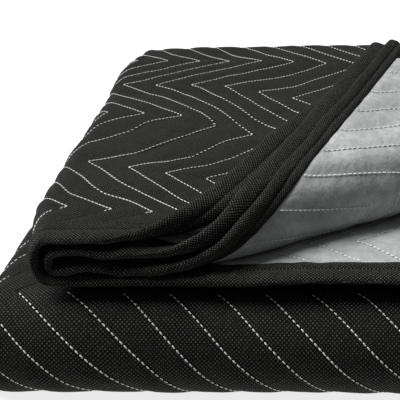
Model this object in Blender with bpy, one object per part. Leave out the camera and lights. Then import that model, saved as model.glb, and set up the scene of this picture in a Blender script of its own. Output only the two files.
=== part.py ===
"""A quilted moving pad, folded into a pile with the front right corner of its top plies turned back.

The pad is one quilted cloth, black on its face and grey on its back, with a binding on each edge.
It is drawn flat, in u across and v along, and folded by place(): four plies side to side, then
three layers front to back, then the corner of plies 1 to 3 of the top layer rolled back.
Metres, +X to the right, +Y to the back, +Z up, the origin under the middle of the pile.
"""

import math

import bmesh
import bpy
import numpy as np
from mathutils import Vector
from mathutils.geometry import delaunay_2d_cdt

# Quilting: zigzag stitch lines that run along the pad
LINE_SPACING = 0.0381
LEG = 3 * LINE_SPACING  # one leg of a zigzag, along the pad and sideways alike
ROW_TO_EDGE = 0.094  # from the front edge to the nearest row of the zigzags' corners
LINE_TO_BEND = 0.037  # from the start of ply 1 to the nearest of these corners
QUILT_DEPTH = 0.0016  # how far a stitch line is drawn in, on each face

# The cloth and its binding
THICK = 0.0075
BOUND_THICK = 0.0036  # the cloth inside the binding
BINDING_WIDTH = 0.028  # on each face
BINDING_WALL = 0.00095
BINDING_DIP = 0.0003  # how far its middle is drawn in
BINDING_ROUND = 0.0018  # where it starts to round over the edge
BINDING_EDGE = 0.0052  # height of the flat that is left on the edge
EDGE_GAP = 0.0003  # between the cloth and the binding's inside
EDGE_STEP = 0.0025  # where the cloth thins into the binding

# Side to side: x of the bends and free edges in the top layer, and the plies' pitch
LEFT_BEND_X = -0.221
RIGHT_BEND_X = 0.2549
INNER_BEND_X = -0.219
FREE_EDGE_3_X = 0.264
FREE_EDGE_4_X = 0.262
PITCH_LOW = 0.0110
PITCH_TOP = 0.0095
PITCH_FLAT = 0.0142  # the pitch that the bends' flat lengths are counted with, on the outer face
LOW_SHIFT_X = -0.035  # the front fold lies this far to the left of the back fold

# Front to back: y of the folds' centres and of the free edges, and the folds' roundness
FRONT_FOLD_Y = -0.284
BACK_FOLD_Y = 0.273
FRONT_EDGE_Y = -0.305
BACK_EDGE_Y = 0.295
FRONT_ROUNDNESS = 1.0  # depth of the front fold as a share of half its height
BACK_ROUNDNESS = 0.8
TOP_LAYER_REST = 0.0115  # between the middles of the plies where the top layer rests on the next

# The corner that is turned back, measured on the grey face that ends up outside
FLAP_START_X = -0.1645
FLAP_TURN = math.radians(33.5)
FLAP_BEND = (0.0346, math.radians(98))  # radius, and the slope that it reaches
FLAP_CREST = (0.0388, math.radians(163))
FLAP_TAKE_UP = 0.21  # share of the inner plies' slack that their puckers take up
LOOSE_START = 0.022  # ply 1 lifts this far before the others, along the front edge
LOOSE_TURN = math.radians(2.5)
LOOSE_TO_X = (0.06, 0.24)  # it is free of ply 2 up to the first x and held by the right bend at the second

# Height of the pile as a share of its even height, at some places in y from front to back
HEIGHT_ALONG = [(-0.33, 1.0), (0.0, 1.0), (0.11, 0.97), (0.21, 1.02), (0.32, 1.0)]

BEND_STEPS = 8
SMALL_BEND_STEPS = 6
FLAP_BEND_STEPS = 6
FLAP_CREST_STEPS = 4
LOOSE_STEPS = 4

MERGE = 0.0004  # points of the flat cloth that are nearer than this become one
ON_LINE = 1e-5  # a point this near a line of the flat cloth lies on it

CENTRE_X = -0.0060
CENTRE_Y = -0.0105

# One row for each stretch side to side: name, kind, where it starts and ends in x, level in pitches,
# side that the black face is on (1 up or outside). A bend has its centre's x and level, its radius
# in pitches and the angle that it starts at and turns through.
STRETCHES = [
    ("ply 4", "straight", FREE_EDGE_4_X, LEFT_BEND_X, -1.5, -1),
    ("left bend", "bend", LEFT_BEND_X, 0.0, 1.5, (-90, -180), 1),
    ("ply 1", "straight", LEFT_BEND_X, RIGHT_BEND_X, 1.5, 1),
    ("right bend", "bend", RIGHT_BEND_X, 1.0, 0.5, (90, -180), 1),
    ("ply 2", "straight", RIGHT_BEND_X, INNER_BEND_X, 0.5, -1),
    ("inner bend", "bend", INNER_BEND_X, 0.0, 0.5, (90, 180), -1),
    ("ply 3", "straight", INNER_BEND_X, FREE_EDGE_3_X, -0.5, 1),
]


def stretch_length(row):
    if row[1] == "straight":
        return abs(row[3] - row[2])
    return math.pi * row[4] * PITCH_FLAT


U_START = {}
U_END = {}
reached = 0.0
for stretch in STRETCHES:
    U_START[stretch[0]] = reached
    reached += stretch_length(stretch)
    U_END[stretch[0]] = reached
WIDTH = reached

# Heights of the three layers' middles, and where each starts along the pad
LAYER_1_Z = THICK / 2 + 1.5 * PITCH_LOW
LAYER_2_Z = LAYER_1_Z + 4 * PITCH_LOW
LAYER_3_Z = LAYER_2_Z + 1.5 * PITCH_LOW + TOP_LAYER_REST + 1.5 * PITCH_TOP
FRONT_FOLD_LENGTH = math.pi * (1 + FRONT_ROUNDNESS) / 2 * ((LAYER_2_Z - LAYER_1_Z) / 2 + 1.5 * PITCH_LOW)
BACK_FOLD_LENGTH = math.pi * (1 + BACK_ROUNDNESS) / 2 * ((LAYER_3_Z - LAYER_2_Z) / 2 + 1.5 * PITCH_TOP)
V_FRONT_FOLD = BACK_EDGE_Y - FRONT_FOLD_Y
V_LAYER_2 = V_FRONT_FOLD + FRONT_FOLD_LENGTH
V_BACK_FOLD = V_LAYER_2 + BACK_FOLD_Y - FRONT_FOLD_Y
V_LAYER_3 = V_BACK_FOLD + BACK_FOLD_LENGTH
LENGTH = V_LAYER_3 + BACK_FOLD_Y - FRONT_EDGE_Y

# Where a row of the zigzags' corners and the middle of a stitch line lie on the flat cloth
ROW_START = LENGTH - ROW_TO_EDGE
LINE_START = U_START["ply 1"] + LINE_TO_BEND - LINE_SPACING / 2

# Where the quilted cloth ends beside the binding, and where it ends inside it
EDGE_LINE = BINDING_WIDTH + EDGE_STEP
PAD_EDGE = BINDING_WALL + 2 * EDGE_GAP


def across(u, pitch):
    """x, level in pitches and the black face's direction, for points u across the pad."""
    x, level, face_x, face_z = (np.zeros_like(u) for _ in range(4))
    for row in STRETCHES:
        here = (u >= U_START[row[0]] - 1e-9) & (u <= U_END[row[0]] + 1e-9)
        share = (u[here] - U_START[row[0]]) / (U_END[row[0]] - U_START[row[0]])
        if row[1] == "straight":
            x[here] = row[2] + (row[3] - row[2]) * share
            level[here] = row[4]
            face_x[here] = 0.0
            face_z[here] = row[5]
        else:
            angle = np.radians(row[5][0] + row[5][1] * share)
            x[here] = row[2] + row[4] * pitch[here] * np.cos(angle)
            level[here] = row[3] + row[4] * np.sin(angle)
            face_x[here] = row[6] * np.cos(angle)
            face_z[here] = row[6] * np.sin(angle)
    return x, level, face_x, face_z


def fold_angles(v):
    """How far round the front and the back fold each point is, from 0 to pi."""
    front = np.clip((v - V_FRONT_FOLD) / FRONT_FOLD_LENGTH, 0, 1) * math.pi
    back = np.clip((v - V_BACK_FOLD) / BACK_FOLD_LENGTH, 0, 1) * math.pi
    return front, back


def looseness(x, level):
    """1 where ply 1 is free of ply 2, 0 where the right bend holds them together and on the others."""
    return np.clip(level - 0.5, 0, 1) * np.interp(x, LOOSE_TO_X, (1, 0))


def flap_line(loose):
    """Start in x and direction of the line that the corner rolls about."""
    return FLAP_START_X - LOOSE_START * loose, FLAP_TURN - LOOSE_TURN * loose


def past_line(x, y, loose):
    """Distances past the flap's line and along it."""
    start, turn = flap_line(loose)
    past = (x - start) * np.sin(turn) - (y - FRONT_EDGE_Y) * np.cos(turn)
    along = (x - start) * np.cos(turn) + (y - FRONT_EDGE_Y) * np.sin(turn)
    return past, along


def bend_lengths(level, loose):
    """Cloth that a ply has in the flap's bend and in its crest, less for the plies inside."""
    held = np.clip(level - 0.5, 0, 1) - loose
    slack = (1 - FLAP_TAKE_UP) * ((level + 0.5 - held) * PITCH_TOP + THICK / 2)
    bend = (FLAP_BEND[0] - slack) * FLAP_BEND[1]
    crest = (FLAP_CREST[0] - slack) * (FLAP_CREST[1] - FLAP_BEND[1])
    return bend, crest


def rolled(past, bend, crest, inside):
    """Where the roll takes a point: distance past the line, and height over the outer face."""
    first = np.clip(past / bend, 0, 1) * FLAP_BEND[1]
    second = FLAP_BEND[1] + np.clip((past - bend) / crest, 0, 1) * (FLAP_CREST[1] - FLAP_BEND[1])
    slope = np.where(past > bend, second, first)
    rest = np.clip(past - bend - crest, 0, None)
    out = (
        FLAP_BEND[0] * np.sin(first)
        + FLAP_CREST[0] * (np.sin(second) - math.sin(FLAP_BEND[1]))
        + rest * math.cos(FLAP_CREST[1])
        - inside * np.sin(slope)
    )
    up = (
        FLAP_BEND[0] * (1 - np.cos(first))
        + FLAP_CREST[0] * (math.cos(FLAP_BEND[1]) - np.cos(second))
        + rest * math.sin(FLAP_CREST[1])
        + inside * np.cos(slope)
    )
    return out, up


def place(u, v, h):
    """Folded place of points of the flat pad; h is the height over its middle, black side up."""
    u, v, h = (np.asarray(a, float) for a in np.broadcast_arrays(u, v, h))
    front, back = fold_angles(v)
    upper = (1 - np.cos(back)) / 2
    pitch = PITCH_LOW + (PITCH_TOP - PITCH_LOW) * upper
    x, level, face_x, face_z = across(u, pitch)
    along_layer_2 = np.clip((v - V_LAYER_2) / (V_BACK_FOLD - V_LAYER_2), 0, 1)
    x = x + h * face_x + LOW_SHIFT_X * (1 - along_layer_2)
    side = pitch * level + h * face_z

    front_radius = (LAYER_2_Z - LAYER_1_Z) / 2 - side
    back_radius = (LAYER_3_Z - LAYER_2_Z) / 2 + side
    in_layer_1 = v < V_FRONT_FOLD
    in_front = (v >= V_FRONT_FOLD) & (v < V_LAYER_2)
    in_layer_2 = (v >= V_LAYER_2) & (v < V_BACK_FOLD)
    in_back = (v >= V_BACK_FOLD) & (v < V_LAYER_3)
    stages = [in_layer_1, in_front, in_layer_2, in_back]
    y = np.select(
        stages,
        [
            BACK_EDGE_Y - v,
            FRONT_FOLD_Y - FRONT_ROUNDNESS * front_radius * np.sin(front),
            FRONT_FOLD_Y + v - V_LAYER_2,
            BACK_FOLD_Y + BACK_ROUNDNESS * back_radius * np.sin(back),
        ],
        BACK_FOLD_Y - (v - V_LAYER_3),
    )
    z = np.select(
        stages,
        [
            LAYER_1_Z + side,
            (LAYER_1_Z + LAYER_2_Z) / 2 - front_radius * np.cos(front),
            LAYER_2_Z - side,
            (LAYER_2_Z + LAYER_3_Z) / 2 - back_radius * np.cos(back),
        ],
        LAYER_3_Z + side,
    )

    loose = looseness(x, level)
    past, along = past_line(x, y, loose)
    turned = (v >= V_LAYER_3) & (level > -1.0) & (past > 0)
    outer = -0.5 * PITCH_TOP - THICK / 2
    bend, crest = bend_lengths(np.maximum(level, -0.5), loose)
    out, up = rolled(np.where(turned, past, 0), bend, crest, np.where(turned, side - outer, 0))
    start, turn = flap_line(loose)
    x_turned = start + along * np.cos(turn) + out * np.sin(turn)
    y_turned = FRONT_EDGE_Y + along * np.sin(turn) - out * np.cos(turn)
    z = z * np.interp(y, *zip(*HEIGHT_ALONG))
    x = np.where(turned, x_turned, x)
    y = np.where(turned, y_turned, y)
    z = np.where(turned, LAYER_3_Z + outer + up, z)
    return np.stack([x - CENTRE_X, y - CENTRE_Y, np.maximum(z, 0.0)], axis=-1)


def ply_row(ply):
    return next(row for row in STRETCHES if row[0] == ply)


def flat_of(ply, x, y):
    """Flat place of a point of the top layer's ply, given by its x and y before the corner is turned."""
    return U_START[ply] + abs(x - ply_row(ply)[2]), V_LAYER_3 + BACK_FOLD_Y - y


def zigzag(v):
    """Sideways place of a stitch line at v, from -LEG/2 to LEG/2."""
    phase = (v - ROW_START) / (2 * LEG) % 1.0
    return LEG * (abs(2 * phase - 1) - 0.5)


def line_number(u, v):
    """Whole on a stitch line and a half more or less on the ridge halfway to the next."""
    return (u - LINE_START - zigzag(v)) / LINE_SPACING


# The lines that the flat cloth is divided along


def past_line_limit(ply, sign):
    """The half plane of a ply's flat cloth that lies before (1) or past (-1) the flap's line."""
    row = ply_row(ply)
    heading = 1 if row[3] > row[2] else -1
    start, turn = flap_line(max(row[4] - 0.5, 0))
    offset = (row[2] - heading * U_START[ply] - start) * math.sin(turn)
    offset -= (BACK_FOLD_Y + V_LAYER_3 - FRONT_EDGE_Y) * math.cos(turn)
    return sign * heading * math.sin(turn), sign * math.cos(turn), -sign * offset


def box(u_low, u_high, v_low, v_high):
    return [(1, 0, u_high), (-1, 0, -u_low), (0, 1, v_high), (0, -1, -v_low)]


def clipped(start, end, limits):
    """The part of a segment inside the half planes a u + b v <= c, or None."""
    low, high = 0.0, 1.0
    step = (end[0] - start[0], end[1] - start[1])
    for a, b, c in limits:
        now = a * start[0] + b * start[1] - c
        change = a * step[0] + b * step[1]
        if abs(change) < 1e-12:
            if now > 1e-9:
                return None
        elif change > 0:
            high = min(high, -now / change)
        else:
            low = max(low, -now / change)
    if high - low < 1e-6:
        return None
    return [(start[0] + step[0] * share, start[1] + step[1] * share) for share in (low, high)]


# The parts of each face where the quilting shows, each as the half planes that bound it
BLACK_QUILTED = [
    box(U_START["ply 1"], U_END["ply 1"], V_LAYER_3, LENGTH - EDGE_LINE) + [past_line_limit("ply 1", 1)],
    box(EDGE_LINE, U_END["ply 4"], V_FRONT_FOLD, V_LAYER_2),
    box(U_START["ply 1"], U_END["ply 1"], V_BACK_FOLD, V_LAYER_3),
    box(U_START["left bend"], U_END["left bend"], EDGE_LINE, LENGTH - EDGE_LINE),
]
GREY_QUILTED = [
    box(U_START["ply 3"], WIDTH - EDGE_LINE, V_LAYER_3, LENGTH - EDGE_LINE) + [past_line_limit("ply 3", -1)],
    box(EDGE_LINE, U_END["ply 4"], V_LAYER_3, LENGTH - EDGE_LINE) + [past_line_limit("ply 4", -1)],
]
# The part of the black face that the pile lies on; it stays flat
UNDERSIDE = box(0, U_END["ply 4"], 0, V_FRONT_FOLD)


def stitch_lines(regions):
    """Stitch lines and the ridges halfway between them, where the quilting shows."""
    segments = []
    rows = ROW_START + LEG * np.arange(-math.ceil(ROW_START / LEG), math.ceil(ROW_TO_EDGE / LEG) + 1)
    first = math.floor((-LEG / 2 - LINE_START) / LINE_SPACING)
    last = math.ceil((WIDTH + LEG / 2 - LINE_START) / LINE_SPACING)
    for number in np.arange(first, last, 0.5):
        middle = LINE_START + number * LINE_SPACING
        corners = [(middle + float(zigzag(v)), v) for v in rows]
        for start, end in zip(corners, corners[1:]):
            for limits in regions:
                piece = clipped(start, end, limits)
                if piece:
                    segments.append(piece)
    return segments


def flap_lines():
    """Lines along the roll of the flap, where its flat facets meet."""
    segments = []
    for plies in (("ply 1", "ply 2"), ("ply 3",)):
        for step in range(FLAP_BEND_STEPS + FLAP_CREST_STEPS + 1):
            path = []
            for ply in plies:
                points = flap_line_points(ply, step)
                path.extend(points if ply != "ply 2" else reversed(points))
            segments.extend(zip(path, path[1:]))
    return segments


def flap_distance(level, loose, step):
    """Distance past the flap's line of a ply's line number step."""
    bend, crest = bend_lengths(level, loose)
    if step <= FLAP_BEND_STEPS:
        return bend * step / FLAP_BEND_STEPS
    return bend + crest * (step - FLAP_BEND_STEPS) / FLAP_CREST_STEPS


def flap_line_y(ply, step, x):
    """y of that line on a ply at x, before the corner is turned."""
    level = ply_row(ply)[4]
    loose = looseness(x, level)
    start, turn = flap_line(loose)
    past = flap_distance(level, loose, step)
    return float(FRONT_EDGE_Y + ((x - start) * np.sin(turn) - past) / np.cos(turn))


def flap_line_points(ply, step):
    """Flat points of a flap line, from the front edge to the ply's right side."""
    row = ply_row(ply)
    loose = looseness(LOOSE_TO_X[0], row[4])
    start, turn = flap_line(loose)
    front_x = float(start + flap_distance(row[4], loose, step) / np.sin(turn))
    side_x = max(row[2], row[3])
    places = [front_x]
    if ply == "ply 1":
        places += [x for x in np.linspace(*LOOSE_TO_X, LOOSE_STEPS + 1) if x > front_x]
    places.append(side_x)
    return [flat_of(ply, x, flap_line_y(ply, step, x)) for x in places]


def bend_places():
    """u of the lines along the pad where its facets meet: at each stretch's ends and in each bend."""
    places = []
    for row in STRETCHES:
        steps = 1
        if row[1] == "bend":
            steps = BEND_STEPS if row[0] == "left bend" else SMALL_BEND_STEPS
        places.extend(np.linspace(U_START[row[0]], U_END[row[0]], steps + 1))
    return sorted({round(float(u), 6) for u in places})[1:-1]


def fold_places():
    """v of the lines across the pad: in the two folds, and where the pile's height changes slope."""
    places = list(np.linspace(V_FRONT_FOLD, V_LAYER_2, BEND_STEPS + 1))
    places += list(np.linspace(V_BACK_FOLD, V_LAYER_3, BEND_STEPS + 1))
    for y, share in HEIGHT_ALONG[1:-1]:
        places += [BACK_EDGE_Y - y, V_LAYER_2 + y - FRONT_FOLD_Y, V_LAYER_3 + BACK_FOLD_Y - y]
    return sorted(float(v) for v in places)


def fold_lines():
    """Lines along and across the whole cloth where its facets meet."""
    segments = []
    for u in bend_places() + [BINDING_WIDTH, EDGE_LINE, WIDTH - BINDING_WIDTH, WIDTH - EDGE_LINE]:
        segments.append([(u, 0.0), (u, LENGTH)])
    for v in fold_places() + [BINDING_WIDTH, EDGE_LINE, LENGTH - BINDING_WIDTH, LENGTH - EDGE_LINE]:
        segments.append([(0.0, v), (WIDTH, v)])
    return segments


def triangles(segments, edge_points):
    """The flat cloth divided along the segments, with these points on its edge."""
    limits = box(PAD_EDGE, WIDTH - PAD_EDGE, PAD_EDGE, LENGTH - PAD_EDGE)
    points = [
        (PAD_EDGE, PAD_EDGE),
        (WIDTH - PAD_EDGE, PAD_EDGE),
        (WIDTH - PAD_EDGE, LENGTH - PAD_EDGE),
        (PAD_EDGE, LENGTH - PAD_EDGE),
    ]
    edges = [(0, 1), (1, 2), (2, 3), (3, 0)]
    points.extend(edge_points)
    for start, end in segments:
        piece = clipped(start, end, limits)
        if piece:
            edges.append((len(points), len(points) + 1))
            points.extend(piece)
    flat = [Vector(point) for point in points]
    found = delaunay_2d_cdt(flat, edges, [], 0, MERGE)
    return np.array([tuple(point) for point in found[0]]), [tuple(face) for face in found[2]]


def to_edge(points):
    """Distance from points of the flat pad to its nearest edge."""
    u, v = points[:, 0], points[:, 1]
    return np.minimum(np.minimum(u, WIDTH - u), np.minimum(v, LENGTH - v))


def on_edge(points):
    """Which points lie on the edge of the cloth inside the binding."""
    return to_edge(points) < PAD_EDGE + ON_LINE


def inside(points, limits):
    return np.all([a * points[:, 0] + b * points[:, 1] <= c + ON_LINE for a, b, c in limits], axis=0)


def half_thickness(points, regions):
    """Height of a face over the cloth's middle, drawn in along the stitch lines that show."""
    half = np.interp(to_edge(points), [BINDING_WIDTH, EDGE_LINE], [BOUND_THICK / 2, THICK / 2])
    number = line_number(points[:, 0], points[:, 1])
    drawn_in = QUILT_DEPTH * (1 - 2 * np.abs(number - np.round(number)))
    shown = np.any([inside(points, limits) for limits in regions], axis=0)
    shown &= ~inside(points, UNDERSIDE) & (to_edge(points) > EDGE_LINE - ON_LINE)
    return half - np.where(shown, drawn_in, 0)


def along_edge(point):
    """Place of an edge point on its way round the cloth, for putting edge points in order."""
    u, v = point
    if v < PAD_EDGE + ON_LINE:
        return u
    if u > WIDTH - PAD_EDGE - ON_LINE:
        return WIDTH + v
    if v > LENGTH - PAD_EDGE - ON_LINE:
        return WIDTH + LENGTH + WIDTH - u
    return 2 * WIDTH + LENGTH + LENGTH - v


def quilted_pad():
    """The whole cloth as one closed solid: its black face, its grey face and the edge between."""
    common = fold_lines() + flap_lines()
    line_sets = [common + stitch_lines(BLACK_QUILTED), common + stitch_lines(GREY_QUILTED)]
    edge_points = []
    for segments in line_sets:
        points = triangles(segments, [])[0]
        for point in points[on_edge(points)]:
            if all(math.dist(point, other) > 2 * MERGE for other in edge_points):
                edge_points.append(tuple(float(c) for c in point))
    mesh = bmesh.new()
    rims = []
    for segments, regions, side in zip(line_sets, (BLACK_QUILTED, GREY_QUILTED), (1, -1)):
        points, faces = triangles(segments, edge_points)
        folded = place(points[:, 0], points[:, 1], side * half_thickness(points, regions))
        corners = [mesh.verts.new(point) for point in folded]
        for face in faces:
            order = reversed(face) if side == 1 else face
            mesh.faces.new([corners[i] for i in order])
        rim = sorted(np.flatnonzero(on_edge(points)), key=lambda i: along_edge(points[i]))
        rims.append([corners[i] for i in rim])
    black, grey = rims
    for i in range(len(black)):
        j = (i + 1) % len(black)
        mesh.faces.new([black[i], black[j], grey[j]])
        mesh.faces.new([black[i], grey[j], grey[i]])
    return mesh


# The binding: a strip folded over each edge, with its section as (inwards, height) points

OUTER_HALF = [
    (BINDING_WIDTH, THICK / 2),
    (BINDING_WIDTH / 2, THICK / 2 - BINDING_DIP),
    (BINDING_ROUND, THICK / 2),
    (0.0, BINDING_EDGE / 2),
]
INNER_HALF = [
    (BINDING_WALL, THICK / 2 - BINDING_WALL - BINDING_DIP),
    (BINDING_WIDTH / 2, THICK / 2 - BINDING_WALL - BINDING_DIP),
    (BINDING_WIDTH, THICK / 2 - BINDING_WALL),
]


def mirrored(points):
    return [(inwards, -height) for inwards, height in reversed(points)]


BINDING_LOOP = OUTER_HALF + mirrored(OUTER_HALF) + mirrored(INNER_HALF) + INNER_HALF
# The loop's points that each face of a strip's end joins, from its outer to its inner side
BINDING_END = [
    (0, 1, 12, 13),
    (1, 2, 11, 12),
    (2, 3, 11),
    (3, 4, 10, 11),
    (4, 5, 10),
    (5, 6, 9, 10),
    (6, 7, 8, 9),
]


def binding(stations, to_flat):
    """A strip through its stations; each is a place along the edge and its line's slant inwards.

    Its inside and its outside are divided along the same diagonals, so it is equally thick all over.
    """
    mesh = bmesh.new()
    rings = []
    for where, slant in stations:
        flat = [to_flat(where + slant * inwards, inwards) for inwards, height in BINDING_LOOP]
        heights = [height for inwards, height in BINDING_LOOP]
        folded = place([u for u, v in flat], [v for u, v in flat], heights)
        rings.append([mesh.verts.new(point) for point in folded])
    for i in range(len(BINDING_LOOP)):
        j = (i + 1) % len(BINDING_LOOP)
        near, far = sorted((i, j), key=lambda k: (BINDING_LOOP[k][0], -BINDING_LOOP[k][1]))
        for ring, following in zip(rings, rings[1:]):
            mesh.faces.new([ring[i], ring[j], following[far]])
            mesh.faces.new([ring[near], following[j], following[i]])
    for ring in (rings[0], rings[-1]):
        for corners in BINDING_END:
            mesh.faces.new([ring[i] for i in corners])
    bmesh.ops.triangulate(mesh, faces=mesh.faces[:])
    bmesh.ops.recalc_face_normals(mesh, faces=mesh.faces[:])
    return mesh


def front_stations():
    """Stations along the front edge, slanted along the flap's lines on the plies that it turns."""
    stations = [(0.0, 0.0)]
    stations += [(u, 0.0) for u in bend_places()]
    stations += [(WIDTH, 0.0)]
    for ply in ("ply 1", "ply 2", "ply 3"):
        row = ply_row(ply)
        heading = 1 if row[3] > row[2] else -1
        turn = float(flap_line(looseness(LOOSE_TO_X[0], row[4]))[1])
        for step in range(FLAP_BEND_STEPS + FLAP_CREST_STEPS + 1):
            u = flap_line_points(ply, step)[0][0]
            stations.append((u, heading / math.tan(turn)))
    return sorted(stations)


def side_stations(turned):
    """Stations along a free side edge, between the bindings of the front and back edges."""
    low, high = BINDING_WIDTH + 2 * EDGE_GAP, LENGTH - BINDING_WIDTH - 2 * EDGE_GAP
    stations = [(low, 0.0), (high, 0.0)] + [(v, 0.0) for v in fold_places()]
    if turned:
        for step in range(FLAP_BEND_STEPS + FLAP_CREST_STEPS + 1):
            v = flap_line_points("ply 3", step)[-1][1]
            stations.append((v, math.tan(FLAP_TURN)))
    return sorted(stations)


def back_stations():
    return [(u, 0.0) for u in [0.0] + bend_places() + [WIDTH]]


# Objects and materials


def linear(value):
    return value / 12.92 if value <= 0.04045 else ((value + 0.055) / 1.055) ** 2.4


def material(name, colour, roughness):
    """A matt cloth of an sRGB hex colour."""
    made = bpy.data.materials.new(name)
    made.use_nodes = True
    shader = made.node_tree.nodes["Principled BSDF"]
    channels = [linear(int(colour[i : i + 2], 16) / 255) for i in (0, 2, 4)]
    shader.inputs["Base Color"].default_value = (*channels, 1)
    shader.inputs["Roughness"].default_value = roughness
    shader.inputs["Metallic"].default_value = 0.0
    return made


def add_object(name, mesh, finish):
    data = bpy.data.meshes.new(name)
    mesh.to_mesh(data)
    mesh.free()
    data.materials.append(finish)
    made = bpy.data.objects.new(name, data)
    bpy.context.scene.collection.objects.link(made)
    return made


def main():
    for old in list(bpy.data.objects):
        bpy.data.objects.remove(old)
    woven_black = material("woven black polyester", "2B2B29", 0.85)
    binding_black = material("woven black binding", "232322", 0.8)
    add_object("quilted_pad", quilted_pad(), woven_black)
    strips = [
        ("front_edge_binding", front_stations(), lambda along, inwards: (along, LENGTH - inwards)),
        ("back_edge_binding", back_stations(), lambda along, inwards: (along, inwards)),
        ("lower_side_binding", side_stations(False), lambda along, inwards: (inwards, along)),
        ("flap_side_binding", side_stations(True), lambda along, inwards: (WIDTH - inwards, along)),
    ]
    for name, stations, to_flat in strips:
        add_object(name, binding(stations, to_flat), binding_black)


main()
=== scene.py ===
"""Looks of the folded moving pad: its woven black cover, grey felted back, bindings and thread.

The cloth is drawn flat, in u across and v along, and folded by place(), as the solids are. Here both
faces are fine sheets with soft quilting between the stitch lines and the unevenness of a real pile.
"""

import math

import bpy
import numpy as np
from mathutils import Euler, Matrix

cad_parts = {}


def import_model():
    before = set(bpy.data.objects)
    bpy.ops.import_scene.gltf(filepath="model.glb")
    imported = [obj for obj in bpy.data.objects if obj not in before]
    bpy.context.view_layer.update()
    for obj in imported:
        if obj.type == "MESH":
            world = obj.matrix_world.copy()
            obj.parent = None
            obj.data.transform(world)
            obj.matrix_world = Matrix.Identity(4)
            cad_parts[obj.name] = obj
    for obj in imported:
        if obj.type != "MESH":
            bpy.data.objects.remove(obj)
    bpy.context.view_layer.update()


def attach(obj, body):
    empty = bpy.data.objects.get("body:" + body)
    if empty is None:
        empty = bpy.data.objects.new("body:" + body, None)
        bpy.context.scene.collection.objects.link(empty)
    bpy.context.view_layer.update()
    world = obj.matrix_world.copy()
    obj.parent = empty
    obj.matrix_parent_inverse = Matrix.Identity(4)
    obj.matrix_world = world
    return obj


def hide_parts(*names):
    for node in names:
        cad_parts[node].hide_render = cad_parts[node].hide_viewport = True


# Quilting: zigzag stitch lines that run along the pad
LINE_SPACING = 0.0381
LEG = 3 * LINE_SPACING  # one leg of a zigzag, along the pad and sideways alike
ROW_TO_EDGE = 0.094  # from the front edge to the nearest row of the zigzags' corners
LINE_TO_BEND = 0.037  # from the start of ply 1 to the nearest of these corners
QUILT_DEPTH = 0.0019  # how far a stitch line is drawn in, on each face
QUILT_SHARPNESS = 1.3  # over 1, the cloth between the lines is flatter and the troughs narrower

# The cloth and its binding
THICK = 0.0075
BOUND_THICK = 0.0036  # the cloth inside the binding
BINDING_WIDTH = 0.028  # on each face
EDGE_STEP = 0.0025  # where the cloth thins into the binding
FLAP_TAPE_LESS = 0.0095  # how much narrower the tape is on the grey face of the flap
NARROWS_WITHIN = 0.08  # the length along the edge over which it gets narrower

# Side to side: x of the bends and free edges in the top layer, and the plies' pitch
LEFT_BEND_X = -0.221
RIGHT_BEND_X = 0.2549
INNER_BEND_X = -0.219
FREE_EDGE_3_X = 0.264
FREE_EDGE_4_X = 0.262
PITCH_LOW = 0.0110
PITCH_TOP = 0.0095
PITCH_FLAT = 0.0142  # the pitch that the bends' flat lengths are counted with, on the outer face
LOW_SHIFT_X = -0.035  # the front fold lies this far to the left of the back fold

# Front to back: y of the folds' centres and of the free edges, and the folds' roundness
FRONT_FOLD_Y = -0.284
BACK_FOLD_Y = 0.273
FRONT_EDGE_Y = -0.305
BACK_EDGE_Y = 0.295
FRONT_ROUNDNESS = 1.0  # depth of the front fold as a share of half its height
BACK_ROUNDNESS = 0.8
TOP_LAYER_REST = 0.0115  # between the middles of the plies where the top layer rests on the next

# The corner that is turned back, measured on the grey face that ends up outside
FLAP_START_X = -0.1645
FLAP_TURN = math.radians(33.5)
FLAP_BEND = (0.0346, math.radians(98))  # radius, and the slope that it reaches
FLAP_CREST = (0.0388, math.radians(163))
FLAP_TAKE_UP = 0.21  # share of the inner plies' slack that their puckers take up
LOOSE_START = 0.022  # ply 1 lifts this far before the others, along the front edge
LOOSE_TURN = math.radians(2.5)
LOOSE_TO_X = (0.06, 0.24)  # it is free of ply 2 up to the first x and held by the right bend at the second

# Height of the pile as a share of its even height, at some places in y from front to back
HEIGHT_ALONG = [
    (-0.33, 1.0),
    (-0.06, 1.0),
    (0.06, 0.985),
    (0.11, 0.97),
    (0.16, 0.985),
    (0.21, 1.015),
    (0.32, 1.0),
]

# The front edges hang over the front fold at the left: how far, by level in pitches
SAG_BY_LEVEL = [(-1.5, 0.0085), (-0.5, 0.0065), (0.5, 0.0010), (1.5, 0.0)]
SAG_FROM_Y = (-0.278, -0.305)
SAG_TO_X = (-0.17, 0.0)

# Where nothing lies on it any more, the front edge of ply 4 stands up a little: how far past the
# flap's line it starts and ends to rise
LIFT = 0.0095
LIFT_PAST = (-0.02, 0.05)
LIFT_FROM_Y = (-0.10, -0.27)

# The front left of the top layer lies higher than the rest, and the pile's left side bulges there
RISE = 0.014
RISE_FROM_Y = (0.02, -0.24)
RISE_FROM_X = (-0.06, -0.17)
BULGE = 0.009
BULGE_FROM_Y = (0.20, -0.14)
BULGE_FROM_X = (-0.15, -0.235)
BULGE_ENDS_Y = (-0.22, -0.30)  # in the top layer

# The front fold is fuller at its foot, most at the left
FOOT = 0.014
FOOT_FROM_Y = (-0.10, -0.27)
FOOT_BY_X = [(-0.25, 1.0), (0.10, 0.45)]

# The bound edges of plies 2 and 3 are rippled where they are folded together at the left
RIPPLE = 0.0024
RIPPLE_LENGTH = 0.052
RIPPLE_AHEAD = 1.2  # radians that a ripple is ahead of the one a pitch lower
RIPPLE_TO_LEVEL = 1.3  # pitches from the top layer's middle at which they have faded out
RIPPLE_FROM_X = (-0.03, -0.10)
RIPPLE_FROM_Y = (-0.24, -0.30)

# The back left corner of the top layer is drawn in and lies lower
CORNER_DROP = 0.004
CORNER_DROP_Y = (0.20, 0.31)
CORNER_DROP_X = (-0.12, -0.23)
DRAW_IN = 0.020
DRAW_IN_Y = (0.16, 0.31)
DRAW_IN_X = (0.0, -0.24)

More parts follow.
